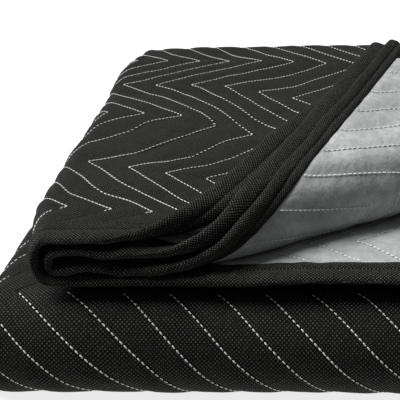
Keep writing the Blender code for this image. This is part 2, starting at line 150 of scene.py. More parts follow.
# Where the pad's middle lies in these values; it is moved to the frame's origin
CENTRE_X = -0.0060
CENTRE_Y = -0.0105

# Unevenness of the whole cloth: height, size of the bumps, seed
UNEVEN = [(0.0009, 0.075, 5), (0.0004, 0.022, 6)]
WAVES = 6  # waves in different directions that make up one unevenness

# One row for each stretch side to side: name, kind, where it starts and ends in x, level in pitches,
# side that the black face is on (1 up or outside). A bend has its centre's x and level, its radius
# in pitches and the angle that it starts at and turns through.
STRETCHES = [
    ("ply 4", "straight", FREE_EDGE_4_X, LEFT_BEND_X, -1.5, -1),
    ("left bend", "bend", LEFT_BEND_X, 0.0, 1.5, (-90, -180), 1),
    ("ply 1", "straight", LEFT_BEND_X, RIGHT_BEND_X, 1.5, 1),
    ("right bend", "bend", RIGHT_BEND_X, 1.0, 0.5, (90, -180), 1),
    ("ply 2", "straight", RIGHT_BEND_X, INNER_BEND_X, 0.5, -1),
    ("inner bend", "bend", INNER_BEND_X, 0.0, 0.5, (90, 180), -1),
    ("ply 3", "straight", INNER_BEND_X, FREE_EDGE_3_X, -0.5, 1),
]


def stretch_length(row):
    if row[1] == "straight":
        return abs(row[3] - row[2])
    return math.pi * row[4] * PITCH_FLAT


U_START = {}
U_END = {}
reached = 0.0
for stretch in STRETCHES:
    U_START[stretch[0]] = reached
    reached += stretch_length(stretch)
    U_END[stretch[0]] = reached
WIDTH = reached

# Heights of the three layers' middles, and where each starts along the pad
HALF_LOW = 1.5 * PITCH_LOW  # from a layer's middle to the middle of its outer ply
HALF_TOP = 1.5 * PITCH_TOP
LAYER_1_Z = THICK / 2 + HALF_LOW
LAYER_2_Z = LAYER_1_Z + 4 * PITCH_LOW
LAYER_3_Z = LAYER_2_Z + HALF_LOW + TOP_LAYER_REST + HALF_TOP
FRONT_FOLD_LENGTH = math.pi * (1 + FRONT_ROUNDNESS) / 2 * ((LAYER_2_Z - LAYER_1_Z) / 2 + HALF_LOW)
BACK_FOLD_LENGTH = math.pi * (1 + BACK_ROUNDNESS) / 2 * ((LAYER_3_Z - LAYER_2_Z) / 2 + HALF_TOP)
V_FRONT_FOLD = BACK_EDGE_Y - FRONT_FOLD_Y
V_LAYER_2 = V_FRONT_FOLD + FRONT_FOLD_LENGTH
V_BACK_FOLD = V_LAYER_2 + BACK_FOLD_Y - FRONT_FOLD_Y
V_LAYER_3 = V_BACK_FOLD + BACK_FOLD_LENGTH
LENGTH = V_LAYER_3 + BACK_FOLD_Y - FRONT_EDGE_Y

# Where a row of the zigzags' corners and the middle of a stitch line lie on the flat cloth
ROW_START = LENGTH - ROW_TO_EDGE
LINE_START = U_START["ply 1"] + LINE_TO_BEND - LINE_SPACING / 2
EDGE_LINE = BINDING_WIDTH + EDGE_STEP
# Distances from the edge over which the quilting and the filling begin
QUILTED_FROM = (EDGE_LINE - 0.002, EDGE_LINE + 0.006)
FILLED_FROM = (BINDING_WIDTH - 0.004, EDGE_LINE + 0.001)

# On the top the rows of the zigzags' corners run askew: how far forward of its even place each row
# lies, at some places in u from the start of ply 1, for rows counted forward from the front one
ROW_PLACES = [-0.2, 0.0, 0.04, 0.075, 0.112, 0.15, 0.19, 0.27, 0.50, 0.98]
ROW_SHIFTS = [
    (-6.0, [0.0, 0.0, 0.0, 0.0, 0.0, 0.0, 0.0, 0.0, 0.0, 0.0]),
    (-4.0, [0.0, 0.040, 0.042, 0.042, 0.042, 0.036, 0.040, 0.055, 0.055, 0.0]),
    (-3.0, [0.0, -0.012, -0.010, -0.010, -0.008, 0.009, 0.036, 0.050, 0.050, 0.0]),
    (-2.0, [0.0, -0.030, -0.028, -0.014, 0.010, 0.038, 0.050, 0.055, 0.055, 0.0]),
    (-1.0, [0.0, 0.012, 0.037, 0.058, 0.060, 0.055, 0.050, 0.050, 0.050, 0.0]),
    (0.0, [0.0, 0.036, 0.050, 0.054, 0.054, 0.050, 0.040, 0.030, 0.020, 0.0]),
    (0.8, [0.0, 0.0, 0.0, 0.0, 0.0, 0.0, 0.0, 0.0, 0.0, 0.0]),
]
SIDEWAYS = 0.013  # how far the two front rows lie to the right of their even places at the left bend
SIDEWAYS_AT = [(-0.3, 0.0), (-0.1, 1.0), (0.0, 1.0), (0.09, 0.0)]
SIDEWAYS_ROWS = (-1.8, -0.6)
# Towards the front edge plies 3 and 4 are quilted off the even places too: u, shift across and along
PLY_SHIFTS = [(0.30, -0.006, 0.025), (0.46, 0.0, 0.0), (1.60, 0.0, 0.0), (1.75, -0.002, 0.009)]
PLY_SHIFT_FROM = (-0.30, -0.20)  # v from the front edge
WANDER = 0.0011  # of the stitch lines, to each side
WANDER_ACROSS = (0.035, 7)  # size of its waves, and seed
WANDER_ALONG = (0.040, 8)


# Folding


def across(u, pitch):
    """x, level in pitches and the black face's direction, for points u across the pad."""
    x, level, face_x, face_z = (np.zeros_like(u) for _ in range(4))
    for row in STRETCHES:
        low = -math.inf if row is STRETCHES[0] else U_START[row[0]] - 1e-9
        high = math.inf if row is STRETCHES[-1] else U_END[row[0]] + 1e-9
        here = (u >= low) & (u <= high)
        share = (u[here] - U_START[row[0]]) / (U_END[row[0]] - U_START[row[0]])
        if row[1] == "straight":
            x[here] = row[2] + (row[3] - row[2]) * share
            level[here] = row[4]
            face_x[here] = 0.0
            face_z[here] = row[5]
        else:
            angle = np.radians(row[5][0] + row[5][1] * share)
            x[here] = row[2] + row[4] * pitch[here] * np.cos(angle)
            level[here] = row[3] + row[4] * np.sin(angle)
            face_x[here] = row[6] * np.cos(angle)
            face_z[here] = row[6] * np.sin(angle)
    return x, level, face_x, face_z


def looseness(x, level):
    """1 where ply 1 is free of ply 2, 0 where the right bend holds them together and on the others."""
    return np.clip(level - 0.5, 0, 1) * np.interp(x, LOOSE_TO_X, (1, 0))


def flap_line(loose):
    """Start in x and direction of the line that the corner rolls about."""
    return FLAP_START_X - LOOSE_START * loose, FLAP_TURN - LOOSE_TURN * loose


def past_line(x, y, loose):
    """Distances past the flap's line and along it."""
    start, turn = flap_line(loose)
    past = (x - start) * np.sin(turn) - (y - FRONT_EDGE_Y) * np.cos(turn)
    along = (x - start) * np.cos(turn) + (y - FRONT_EDGE_Y) * np.sin(turn)
    return past, along


def bend_lengths(level, loose):
    """Cloth that a ply has in the flap's bend and in its crest, less for the plies inside."""
    held = np.clip(level - 0.5, 0, 1) - loose
    slack = (1 - FLAP_TAKE_UP) * ((level + 0.5 - held) * PITCH_TOP + THICK / 2)
    bend = (FLAP_BEND[0] - slack) * FLAP_BEND[1]
    crest = (FLAP_CREST[0] - slack) * (FLAP_CREST[1] - FLAP_BEND[1])
    return bend, crest


def rolled(past, bend, crest, inside):
    """Where the roll takes a point: distance past the line, and height over the outer face."""
    first = np.clip(past / bend, 0, 1) * FLAP_BEND[1]
    second = FLAP_BEND[1] + np.clip((past - bend) / crest, 0, 1) * (FLAP_CREST[1] - FLAP_BEND[1])
    slope = np.where(past > bend, second, first)
    rest = np.clip(past - bend - crest, 0, None)
    out = (
        FLAP_BEND[0] * np.sin(first)
        + FLAP_CREST[0] * (np.sin(second) - math.sin(FLAP_BEND[1]))
        + rest * math.cos(FLAP_CREST[1])
        - inside * np.sin(slope)
    )
    up = (
        FLAP_BEND[0] * (1 - np.cos(first))
        + FLAP_CREST[0] * (math.cos(FLAP_BEND[1]) - np.cos(second))
        + rest * math.sin(FLAP_CREST[1])
        + inside * np.cos(slope)
    )
    return out, up


def eased(value, start, end):
    """0 at start, 1 at end, smooth between."""
    share = np.clip((value - start) / (end - start), 0, 1)
    return share * share * (3 - 2 * share)


def waves(u, v, size, seed):
    """Soft unevenness from -1 to 1, with bumps of about that size."""
    draws = np.random.default_rng(seed).random((WAVES, 3))
    total = 0.0
    for turn, stretch, start in draws:
        angle = math.pi * turn
        length = size * (0.7 + 0.9 * stretch) * 2
        total = total + np.sin(2 * math.pi * ((u * math.cos(angle) + v * math.sin(angle)) / length + start))
    return total / 3.2


def uneven(u, v):
    """Height that the cloth's softness adds, both faces alike."""
    return sum(height * waves(u, v, size, seed) for height, size, seed in UNEVEN)


def place(u, v, h):
    """Folded place of points of the flat pad; h is the height over its middle, black side up."""
    u, v, h = (np.asarray(a, float) for a in np.broadcast_arrays(u, v, h))
    front = np.clip((v - V_FRONT_FOLD) / FRONT_FOLD_LENGTH, 0, 1) * math.pi
    back = np.clip((v - V_BACK_FOLD) / BACK_FOLD_LENGTH, 0, 1) * math.pi
    upper = (1 - np.cos(back)) / 2
    pitch = PITCH_LOW + (PITCH_TOP - PITCH_LOW) * upper
    h = h + uneven(u, v)
    x, level, face_x, face_z = across(u, pitch)
    along_layer_2 = np.clip((v - V_LAYER_2) / (V_BACK_FOLD - V_LAYER_2), 0, 1)
    x = x + h * face_x + LOW_SHIFT_X * (1 - along_layer_2)
    side = pitch * level + h * face_z

    front_radius = (LAYER_2_Z - LAYER_1_Z) / 2 - side
    back_radius = (LAYER_3_Z - LAYER_2_Z) / 2 + side
    stages = [
        v < V_FRONT_FOLD,
        (v >= V_FRONT_FOLD) & (v < V_LAYER_2),
        (v >= V_LAYER_2) & (v < V_BACK_FOLD),
        (v >= V_BACK_FOLD) & (v < V_LAYER_3),
    ]
    y = np.select(
        stages,
        [
            BACK_EDGE_Y - v,
            FRONT_FOLD_Y - FRONT_ROUNDNESS * front_radius * np.sin(front),
            FRONT_FOLD_Y + v - V_LAYER_2,
            BACK_FOLD_Y + BACK_ROUNDNESS * back_radius * np.sin(back),
        ],
        BACK_FOLD_Y - (v - V_LAYER_3),
    )
    z = np.select(
        stages,
        [
            LAYER_1_Z + side,
            (LAYER_1_Z + LAYER_2_Z) / 2 - front_radius * np.cos(front),
            LAYER_2_Z - side,
            (LAYER_2_Z + LAYER_3_Z) / 2 - back_radius * np.cos(back),
        ],
        LAYER_3_Z + side,
    )

    loose = looseness(x, level)
    past, along = past_line(x, y, loose)
    turned = (v >= V_LAYER_3) & (level > -1.0) & (past > 0)
    outer = -0.5 * PITCH_TOP - THICK / 2
    bend, crest = bend_lengths(np.maximum(level, -0.5), loose)
    out, up = rolled(np.where(turned, past, 0), bend, crest, np.where(turned, side - outer, 0))
    start, turn = flap_line(loose)
    x_turned = start + along * np.cos(turn) + out * np.sin(turn)
    y_turned = FRONT_EDGE_Y + along * np.sin(turn) - out * np.cos(turn)

    in_top = v >= V_LAYER_3
    sag = np.interp(level, *zip(*SAG_BY_LEVEL)) * eased(y, *SAG_FROM_Y) * eased(x, SAG_TO_X[1], SAG_TO_X[0])
    lift = LIFT * np.clip(-level - 0.5, 0, 1) * eased(past, *LIFT_PAST) * eased(y, *LIFT_FROM_Y)
    rise = RISE * eased(x, *RISE_FROM_X) * eased(y, *RISE_FROM_Y)
    bulge = BULGE * eased(x, *BULGE_FROM_X) * eased(y, *BULGE_FROM_Y) * (1 - upper * eased(y, *BULGE_ENDS_Y))
    doubled = np.clip(RIPPLE_TO_LEVEL - np.abs(level), 0, 1)
    doubled = doubled * eased(x, *RIPPLE_FROM_X) * eased(y, *RIPPLE_FROM_Y)
    ripple = RIPPLE * np.sin(2 * math.pi * x / RIPPLE_LENGTH + RIPPLE_AHEAD * level) * doubled
    drop = CORNER_DROP * upper * eased(y, *CORNER_DROP_Y) * eased(x, *CORNER_DROP_X)
    z = z * np.interp(y, *zip(*HEIGHT_ALONG)) + np.where(in_top, lift + rise + ripple - sag, 0) - drop
    foot = FOOT * (1 + np.cos(front)) / 2 * np.interp(x, *zip(*FOOT_BY_X))
    y = y - foot * eased(y, *FOOT_FROM_Y)
    x = x - bulge
    x = x + DRAW_IN * upper * eased(y, *DRAW_IN_Y) * eased(x, *DRAW_IN_X)
    x = np.where(turned, x_turned, x)
    y = np.where(turned, y_turned, y)
    z = np.where(turned, LAYER_3_Z + outer + up + rise - sag, z)
    return np.stack([x - CENTRE_X, y - CENTRE_Y, np.maximum(z, 0.0)], axis=-1)


# Quilting


def zigzag(v):
    """Sideways place of a stitch line at v, from -LEG/2 to LEG/2."""
    phase = (v - ROW_START) / (2 * LEG) % 1.0
    return LEG * (abs(2 * phase - 1) - 0.5)


def shifts(u, v):
    """How far the real stitch lines lie from the even zigzags, across and along."""
    row = (v - ROW_START) / LEG
    rows, table = zip(*ROW_SHIFTS)
    along = 0.0
    for k, column in enumerate(zip(*table)):
        share = np.interp(u - U_START["ply 1"], ROW_PLACES, np.eye(len(ROW_PLACES))[k])
        along = along + share * np.interp(row, rows, column)
    near_front = eased(v - LENGTH, *PLY_SHIFT_FROM)
    places, shift_u, shift_v = zip(*PLY_SHIFTS)
    sideways = SIDEWAYS * np.interp(u - U_START["ply 1"], *zip(*SIDEWAYS_AT)) * eased(row, *SIDEWAYS_ROWS)
    across_it = sideways + near_front * np.interp(u, places, shift_u) + WANDER * waves(u, v, *WANDER_ACROSS)
    return across_it, along + near_front * np.interp(u, places, shift_v) + WANDER * waves(u, v, *WANDER_ALONG)


def pattern(u, v):
    """The place in the even zigzags that a point of the flat cloth is quilted at."""
    shift_u, shift_v = shifts(u, v)
    return u - shift_u, v - shift_v


def cloth_place(pattern_u, pattern_v):
    """The flat place of a point of the even zigzags, found in steps that soon change nothing."""
    u, v = pattern_u, pattern_v
    for _ in range(12):
        shift_u, shift_v = shifts(u, v)
        u, v = pattern_u + shift_u, pattern_v + shift_v
    return u, v


def to_edge(u, v):
    """Distance from points of the flat pad to its nearest edge."""
    return np.minimum(np.minimum(u, WIDTH - u), np.minimum(v, LENGTH - v))


def narrowing(u, side):
    """How much narrower the front edge's tape is on the grey face of the flap."""
    start = U_START["ply 3"]
    return np.where(side < 0, FLAP_TAPE_LESS * eased(u, start, start + NARROWS_WITHIN), 0.0)


def half_thickness(u, v, side):
    """Height of a face over the cloth's middle, round between the stitch lines."""
    pattern_u, pattern_v = pattern(u, v)
    number = (pattern_u - LINE_START - zigzag(pattern_v)) / LINE_SPACING
    from_line = np.abs(number - np.round(number))
    drawn_in = QUILT_DEPTH * (1 - np.sin(math.pi * from_line)) ** QUILT_SHARPNESS
    edge = to_edge(u, v) + np.where(LENGTH - v < WIDTH - u, narrowing(u, side), 0.0)
    half = BOUND_THICK / 2 + (THICK - BOUND_THICK) / 2 * eased(edge, *FILLED_FROM)
    return half - drawn_in * eased(edge, *QUILTED_FROM)


# Meshes


def grid_lines(stops):
    """Places of a grid's lines; each stop is where a stretch ends and roughly how far apart they lie."""
    lines = [INSET]
    for end, step in stops:
        count = max(1, round((end - lines[-1]) / step))
        lines.extend(np.linspace(lines[-1], end, count + 1)[1:])
    return np.array(lines)


def add_object(name, points, faces, uvs, finish):
    """A smooth mesh object that stands with the frame; uvs holds named (u, v) of each point."""
    data = bpy.data.meshes.new(name)
    data.from_pydata(np.asarray(points).tolist(), [], faces)
    corners = np.empty(len(data.loops), dtype=np.int32)
    data.loops.foreach_get("vertex_index", corners)
    for layer, values in uvs.items():
        data.uv_layers.new(name=layer).data.foreach_set("uv", np.asarray(values)[corners].ravel())
    data.shade_smooth()
    data.materials.append(finish)
    made = bpy.data.objects.new(name, data)
    bpy.context.scene.collection.objects.link(made)
    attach(made, "root")
    return made


def grid_faces(rows, columns, flipped):
    """Quads of a grid whose points are stored row by row."""
    index = np.arange(rows * columns).reshape(rows, columns)
    quads = np.stack([index[:-1, :-1], index[:-1, 1:], index[1:, 1:], index[1:, :-1]], axis=-1).reshape(-1, 4)
    return (quads[:, ::-1] if flipped else quads).tolist()


def cloth_face(name, side, u_lines, v_lines, finish, slot):
    """One face of the cloth: side is 1 for the black cover, -1 for the grey back."""
    v, u = np.meshgrid(v_lines, u_lines, indexing="ij")
    points = place(u, v, side * half_thickness(u, v, side)).reshape(-1, 3)
    faces = grid_faces(len(v_lines), len(u_lines), side == -1)
    uvs = {
        "cloth": np.stack([u.ravel(), v.ravel()], axis=-1),
        "quilting": np.stack([p.ravel() for p in pattern(u, v)], axis=-1),
    }
    return add_object(name, points, faces, uvs, finish)


# Lines of the grids: (where a stretch ends, step); fine where the photograph shows the face
HIDDEN = 0.020  # between plies
STITCHED = 0.0090  # where only the left bend shows
COVERED = 0.0120  # between plies of the top layer, whose edges show
TURNED = 0.0085
TIGHT = 0.0037
INSET = 0.0032  # from the edges to where the faces of the cloth end, inside the binding
BLACK_U = [
    (U_END["ply 4"], 0.0055),
    (U_END["left bend"], TIGHT),
    (U_END["ply 1"], 0.0042),
    (U_END["right bend"], TIGHT),
    (U_END["ply 2"], COVERED),
    (U_END["inner bend"], TIGHT),
    (WIDTH - INSET, COVERED),
]
BLACK_V = [
    (V_FRONT_FOLD, STITCHED),
    (V_LAYER_2, 0.004),
    (V_BACK_FOLD, STITCHED),
    (V_LAYER_3, 0.0055),
    (LENGTH - INSET, 0.0045),
]
GREY_U = [
    (U_END["ply 4"], 0.0045),
    (U_END["left bend"], 0.007),
    (U_END["ply 1"], TURNED),
    (U_END["right bend"], TIGHT),
    (U_END["ply 2"], TURNED),
    (U_END["inner bend"], TIGHT),
    (WIDTH - INSET, 0.0045),
]
GREY_V = [
    (V_FRONT_FOLD, HIDDEN),
    (V_LAYER_2, 0.008),
    (V_BACK_FOLD, HIDDEN),
    (V_LAYER_3, 0.009),
    (LENGTH - INSET, 0.0045),
]

# The binding's section on one face: (inwards from the edge, height over the cloth's face)
TAPE_SECTION = [
    (0.0284, -0.0016),
    (0.0280, -0.0002),
    (0.0268, 0.0005),
    (0.0240, 0.0008),
    (0.0205, 0.0006),
    (0.0182, -0.0001),
    (0.0172, -0.0011),
    (0.0162, -0.0002),
    (0.0135, 0.0005),
    (0.0095, 0.0007),
    (0.0060, 0.0005),
    (0.0034, -0.0001),
    (0.0016, -0.0012),
    (0.0004, -0.0024),
    (0.0, -0.0036),
]
TAPE_STEP = 0.0042
PUCKER = (0.0005, 0.0075)  # height and size of the tapes' puckers
PUCKER_ACROSS = 0.2  # they are five times as long across the tape as along it
EDGE_WANDER = (0.0011, 0.030)  # how far the tapes' outer edge strays, and the size of its waves
EDGE_STRAYS_FROM = 0.030  # from the edge; further in the tape doesn't stray
TAPE_TUCK = 0.0012  # how far a side's strip runs in under the strips of the front and back edges


def tape_loop():
    """The whole section, from the black face round the edge to the grey face."""
    upper = [(inwards, THICK / 2 + height) for inwards, height in TAPE_SECTION]
    return upper + [(inwards, -height) for inwards, height in reversed(upper)]


def binding(node, start, end, to_flat, finish):
    """A tape folded over one edge, puckered along it, closed at both ends."""
    count = round((end - start) / TAPE_STEP)
    places = np.linspace(start, end, count + 1)
    section = np.array(tape_loop())
    along, inwards = np.meshgrid(places, section[:, 0], indexing="ij")
    height = np.broadcast_to(section[:, 1], along.shape)
    seed = sum(map(ord, node))
    pucker = PUCKER[0] * waves(along, inwards * PUCKER_ACROSS, PUCKER[1], seed) * np.sign(height)
    stray = EDGE_WANDER[0] * waves(along, 0.0, EDGE_WANDER[1], seed + 1)
    edge_wander = stray * eased(inwards, EDGE_STRAYS_FROM, 0.0)
    if node == "front_edge_binding":
        inwards = inwards * (1 - narrowing(along, np.sign(height)) / BINDING_WIDTH)
    u, v = to_flat(along, inwards + edge_wander)
    points = place(u, v, height + pucker).reshape(-1, 3)
    rows, columns = along.shape
    faces = grid_faces(rows, columns, to_flat(0.0, 1.0)[0] > to_flat(0.0, 0.0)[0])
    faces.append(list(range(columns)))
    faces.append(list(range((rows - 1) * columns, rows * columns))[::-1])
    across_tape = np.concatenate([[0.0], np.cumsum(np.hypot(*np.diff(section, axis=0).T))])
    uvs = {"cloth": np.stack([along.ravel(), np.broadcast_to(across_tape, along.shape).ravel()], axis=-1)}
    made = add_object(node.replace("binding", "tape"), points, faces, uvs, finish)
    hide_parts(node)
    return made


# Thread

STITCH_PITCH = 0.0046
STITCH = (0.0037, 0.0013, 0.0011)  # length, width and height of the thread between two holes
STITCH_RISE = {1: 0.0006, -1: 0.0010}  # of its middle over the cloth, by face
SUNK_FROM = 0.008  # this far past the front row of corners the cover's thread no longer shows
STITCHED_TO = 0.037  # from the front edge, where the cover's thread ends
ROLL_STITCHED_TO = 0.004  # before the end of the front fold, just under the front edge of ply 4
PLY_4_STITCHED_FROM = 0.25  # into the top layer; up to there ply 4's grey back is covered
# Sections of a stitch: (place along it, size), as shares of half its length and of its full section
STITCH_SHAPE = [(-0.72, 0.75), (0.0, 1.0), (0.72, 0.75)]
SECTION = [(1, 0), (0, 1), (-1, 0), (0, -1)]

# Where thread is drawn: from u, to u, from v, to v; the rest of it is covered
BLACK_STITCHED = [
    (EDGE_LINE, U_END["right bend"], V_LAYER_3, LENGTH - STITCHED_TO),
    (EDGE_LINE, U_END["left bend"], V_FRONT_FOLD, V_LAYER_2 - ROLL_STITCHED_TO),
    (U_START["left bend"], U_END["right bend"], V_BACK_FOLD, V_LAYER_3),
    (U_START["left bend"], U_END["left bend"], EDGE_LINE, V_BACK_FOLD),
]
GREY_STITCHED = [
    (U_START["ply 3"], WIDTH - EDGE_LINE, V_LAYER_3, LENGTH - EDGE_LINE + FLAP_TAPE_LESS),
    (EDGE_LINE, U_END["ply 4"], V_LAYER_3 + PLY_4_STITCHED_FROM, LENGTH - EDGE_LINE),
]


def stitch_places():
    """Flat place and heading of every stitch of the pad's zigzag lines."""
    steps = round(LEG * math.sqrt(2) / STITCH_PITCH)
    shares = (np.arange(steps) + 0.5) / steps
    found = []
    first_row = -math.ceil(ROW_START / LEG)
    last_row = math.ceil(ROW_TO_EDGE / LEG)
    first_line = math.floor((-LEG / 2 - LINE_START) / LINE_SPACING)
    last_line = math.ceil((WIDTH + LEG / 2 - LINE_START) / LINE_SPACING)
    for row in range(first_row, last_row + 1):
        start_v = ROW_START + row * LEG
        start_u, end_u = float(zigzag(start_v)), float(zigzag(start_v + LEG))
        for line in range(first_line, last_line + 1):
            base = LINE_START + line * LINE_SPACING
            pattern_u = base + start_u + (end_u - start_u) * shares
            pattern_v = start_v + LEG * shares
            heading = math.copysign(1.0, end_u - start_u)
            found.append(np.stack([pattern_u, pattern_v, np.full(steps, heading)], axis=-1))
    found = np.concatenate(found)
    u, v = cloth_place(found[:, 0], found[:, 1])
    return u, v, found[:, 2], found[:, 1]


def stitch_faces():
    """Faces of one stitch: its points are one end, the rings of its sections and the other end."""
    around = len(SECTION)
    last_ring = 1 + around * (len(STITCH_SHAPE) - 1)
    faces = []
    for k in range(around):
        faces.append((0, 1 + (k + 1) % around, 1 + k))
    for ring in range(len(STITCH_SHAPE) - 1):
        for k in range(around):
            a = 1 + around * ring + k
            b = 1 + around * ring + (k + 1) % around
            faces.append((a, b, b + around, a + around))
    for k in range(around):
        faces.append((last_ring + around, last_ring + k, last_ring + (k + 1) % around))
    return faces


def stitches(name, side, boxes, finish):
    """The thread that shows on one face, as small rounded stitches along the lines."""
    u, v, heading, pattern_v = stitch_places()
    kept = np.zeros(len(u), bool)
    for u_low, u_high, v_low, v_high in boxes:
        kept |= (u > u_low) & (u < u_high) & (v > v_low) & (v < v_high)
    sunk_in = (side == 1) & (u > U_START["ply 1"]) & (pattern_v > ROW_START + SUNK_FROM)
    kept &= ~sunk_in
    u, v, heading = u[kept], v[kept], heading[kept]
    length, width, tall = STITCH
    shape = [(-1.0, 0.0, 0.0)]
    for along, size in STITCH_SHAPE:
        shape += [(along, size * across_it, size * up) for across_it, up in SECTION]
    shape.append((1.0, 0.0, 0.0))
    shape = np.array(shape) * [length / 2, width / 2, tall / 2]
    slant = math.sqrt(0.5)
    du = slant * (heading[:, None] * shape[:, 0] + shape[:, 1])
    dv = slant * (shape[:, 0] - heading[:, None] * shape[:, 1])
    height = half_thickness(u, v, side)[:, None] + STITCH_RISE[side] + shape[:, 2]
    points = place(u[:, None] + du, v[:, None] + dv, side * height).reshape(-1, 3)
    faces = []
    for first in range(0, len(points), len(shape)):
        for face in stitch_faces():
            faces.append(tuple(first + corner for corner in face))
    uvs = {"cloth": np.stack([(u[:, None] + du).ravel(), (v[:, None] + dv).ravel()], axis=-1)}
    return add_object(name, points, faces, uvs, finish)


# Materials

# Real threads of such a cloth and tape lie under 1 mm apart; they are drawn coarser here, as far
# apart as the dots of light that the photograph shows
COVER_THREAD = 1.7  # mm from thread to thread
TAPE_THREAD = 1.5
COVER_WRINKLE = 22.2  # mm from one small wrinkle to the next
TAPE_WRINKLE = 11.1
NAP = 4.545  # mm, size of the tufts that the felt is pressed from
RIB_WIDTH = 2.381  # mm, of the felt's faint ribs
RIB_LENGTH = 22.22
TWIST = 0.4  # mm of sewing thread from one stripe of its twist to the next
CREASE = 0.09  # half width of the crease at a stitch line, as a share of the lines' spacing
FELT_CREASE = 0.06
SPECULAR = 0.12  # cloth reflects less than a closed surface, and the card and the table are matt too
SHEEN_ROUGHNESS = 0.5


def linear(value):
    return value / 12.92 if value <= 0.04045 else ((value + 0.055) / 1.055) ** 2.4


def colour(hex_code):
    """Linear colour of an sRGB hex code."""
    return (*[linear(int(hex_code[i : i + 2], 16) / 255) for i in (0, 2, 4)], 1)


def add_node(tree, kind, links=None, output=0, **settings):
    """An output of a new node with these settings; links maps its inputs to values or to outputs."""
    node = tree.nodes.new(kind)
    for key, value in settings.items():
        setattr(node, key, value)
    for key, value in (links or {}).items():
        if isinstance(value, bpy.types.NodeSocket):
            tree.links.new(value, node.inputs[key])
        else:
            node.inputs[key].default_value = value
    return node.outputs[output]


def new_material(name, roughness, sheen=0.0):
    made = bpy.data.materials.new(name)
    made.use_nodes = True
    shader = made.node_tree.nodes["Principled BSDF"]
    shader.inputs["Roughness"].default_value = roughness
    shader.inputs["Sheen Weight"].default_value = sheen
    shader.inputs["Sheen Roughness"].default_value = SHEEN_ROUGHNESS
    shader.inputs["Specular IOR Level"].default_value = SPECULAR
    return made, made.node_tree, shader


def spots(tree, flat, size, detail, low, high, most=1.0):
    """Share of random soft spots of about this size in mm: 0 where the noise is low, most where high."""
    bumps = {"Vector": flat, "Scale": 1000 / size, "Detail": detail}
    noise = add_node(tree, "ShaderNodeTexNoise", bumps)
    ends = {0: noise, 1: low, 2: high, 4: most}
    return add_node(tree, "ShaderNodeMapRange", ends, interpolation_type="SMOOTHSTEP")


def plain_weave(tree, flat, thread):
    """Height of a plain weave, from 0 to 1: threads over and under each other in a chequer."""
    ways = []
    half_turns = 1000 / thread
    for axis in (0, 1):
        along = add_node(tree, "ShaderNodeSeparateXYZ", {0: flat}, axis)
        turns = add_node(tree, "ShaderNodeMath", {0: along, 1: math.pi * half_turns}, operation="MULTIPLY")
        ways.append(add_node(tree, "ShaderNodeMath", {0: turns}, operation="SINE"))
    both = add_node(tree, "ShaderNodeMath", {0: ways[0], 1: ways[1]}, operation="MULTIPLY")
    return add_node(tree, "ShaderNodeMapRange", {0: both, 2: 0.9}, interpolation_type="SMOOTHSTEP")


def out_of_crease(tree, half_width):
    """0 on a stitch line, 1 where its crease ends; the half width is a share of the lines' spacing."""
    where = add_node(tree, "ShaderNodeUVMap", uv_map="quilting")
    sideways = add_node(tree, "ShaderNodeSeparateXYZ", {0: where}, 0)
    along = add_node(tree, "ShaderNodeSeparateXYZ", {0: where}, 1)
    along = add_node(tree, "ShaderNodeMath", {0: along, 1: ROW_START}, operation="SUBTRACT")
    swing = add_node(tree, "ShaderNodeMath", {0: along, 1: LEG}, operation="PINGPONG")
    start = LINE_START + LEG / 2
    sideways = add_node(tree, "ShaderNodeMath", {0: sideways, 1: start}, operation="SUBTRACT")
    sideways = add_node(tree, "ShaderNodeMath", {0: sideways, 1: swing}, operation="ADD")
    lines = add_node(tree, "ShaderNodeMath", {0: sideways, 1: LINE_SPACING}, operation="DIVIDE")
    from_line = add_node(tree, "ShaderNodeMath", {0: lines, 1: 0.5}, operation="PINGPONG")
    ends = {0: from_line, 2: half_width}
    return add_node(tree, "ShaderNodeMapRange", ends, interpolation_type="SMOOTHSTEP")


def layered(tree, base, layers):
    """A colour with others laid over it, one after another: (share, colour) each."""
    for share, over in layers:
        base = add_node(tree, "ShaderNodeMix", {0: share, 6: base, 7: over}, 2, data_type="RGBA")
    return base


def surface(tree, shader, base, reliefs):
    """Gives a material its colour and its reliefs, one on another: (height, depth in mm, strength)."""
    tree.links.new(base, shader.inputs["Base Color"])
    normal = None
    for height, depth, strength in reliefs:
        links = {"Height": height, "Distance": depth / 1000, "Strength": strength}
        if normal is not None:
            links["Normal"] = normal
        normal = add_node(tree, "ShaderNodeBump", links)
    tree.links.new(normal, shader.inputs["Normal"])


def woven_black():
    """Woven black polyester, plain weave of coarse threads with a faint sheen: fine dots of painted highlight
    on the raised threads, and painted shade along the stitch lines' creases.
    """
    made, tree, shader = new_material("woven black polyester", 0.88, sheen=0.02)
    flat = add_node(tree, "ShaderNodeUVMap", uv_map="cloth")
    weave = plain_weave(tree, flat, COVER_THREAD)
    patches = spots(tree, flat, size=71.4, detail=3.0, low=0.3, high=0.7)
    fuzz = spots(tree, flat, size=1.111, detail=2.0, low=0.3, high=0.75)
    crease = out_of_crease(tree, CREASE)
    # The raised threads are painted lighter than the black cloth: painted highlight, varied at random by the
    # fuzz.
    painted_yarn_highlight = layered(tree, colour("262625"), [(fuzz, colour("62625E"))])
    woven = layered(tree, colour("080808"), [(patches, colour("10100F")), (weave, painted_yarn_highlight)])
    # Along the stitch lines the cover is painted a flat dark tone, without the weave's dots: painted shade of
    # the creases.
    base = layered(tree, colour("0E0E0E"), [(crease, woven)])
    bumps = {"Vector": flat, "Scale": 1000 / COVER_WRINKLE, "Detail": 3.0}
    wrinkles = add_node(tree, "ShaderNodeTexNoise", bumps)
    surface(tree, shader, base, [(crease, 0.7, 0.8), (weave, 0.3, 0.9), (wrinkles, 3.0, 0.8)])
    return made


